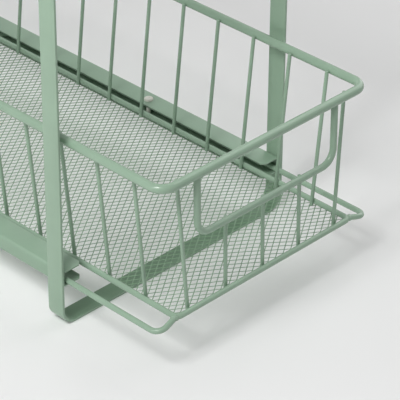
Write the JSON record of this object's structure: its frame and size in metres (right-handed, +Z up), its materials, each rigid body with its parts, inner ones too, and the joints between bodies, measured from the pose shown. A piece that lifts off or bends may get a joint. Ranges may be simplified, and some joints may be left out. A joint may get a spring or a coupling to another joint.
{
  "type": "pull-out organizer",
  "caption": "Cabinet organizer: bent-strip steel frame with channel rails that carry sliding wire baskets, each with a U-shaped wire handle and an expanded-metal floor",
  "frame": {"origin": "on the floor, under the middle of the front hoop's cross bar", "axes": "+X to the right seen from the front, +Y from the front hoop to the rear hoop, +Z up; the baskets pull out towards -Y"},
  "size_m": [0.2132, 0.4719, 0.3638],
  "materials": {
    "powder_coat": "satin sage-green powder coat on steel",
    "nylon": "matt off-white nylon"
  },
  "bodies": {
    "frame": {"front_hoop": "powder_coat", "rear_hoop": "powder_coat", "lower_left_rail": "powder_coat", "lower_right_rail": "powder_coat", "lower_left_front_stop": "nylon", "lower_left_rear_stop": "nylon", "lower_right_front_stop": "nylon", "lower_right_rear_stop": "nylon", "upper_left_rail": "powder_coat", "upper_right_rail": "powder_coat", "upper_left_front_stop": "nylon", "upper_left_rear_stop": "nylon", "upper_right_front_stop": "nylon", "upper_right_rear_stop": "nylon"},
    "lower_basket": {"lower_basket_rim": "powder_coat", "lower_basket_handle": "powder_coat", "lower_basket_front_grille": "powder_coat", "lower_basket_rear_grille": "powder_coat", "lower_basket_left_grille": "powder_coat", "lower_basket_right_grille": "powder_coat", "lower_basket_floor": "powder_coat", "lower_basket_left_runner": "powder_coat", "lower_basket_right_runner": "powder_coat"},
    "upper_basket": {"upper_basket_rim": "powder_coat", "upper_basket_handle": "powder_coat", "upper_basket_front_grille": "powder_coat", "upper_basket_rear_grille": "powder_coat", "upper_basket_left_grille": "powder_coat", "upper_basket_right_grille": "powder_coat", "upper_basket_floor": "powder_coat", "upper_basket_left_runner": "powder_coat", "upper_basket_right_runner": "powder_coat"}
  },
  "joints": [
    {"name": "lower_slide", "type": "slide", "parent": "frame", "child": "lower_basket", "axis": [0, -1, 0], "range_m": [-0.0858, 0.1572]},
    {"name": "upper_slide", "type": "slide", "parent": "frame", "child": "upper_basket", "axis": [0, -1, 0], "range_m": [0, 0.243]}
  ]
}
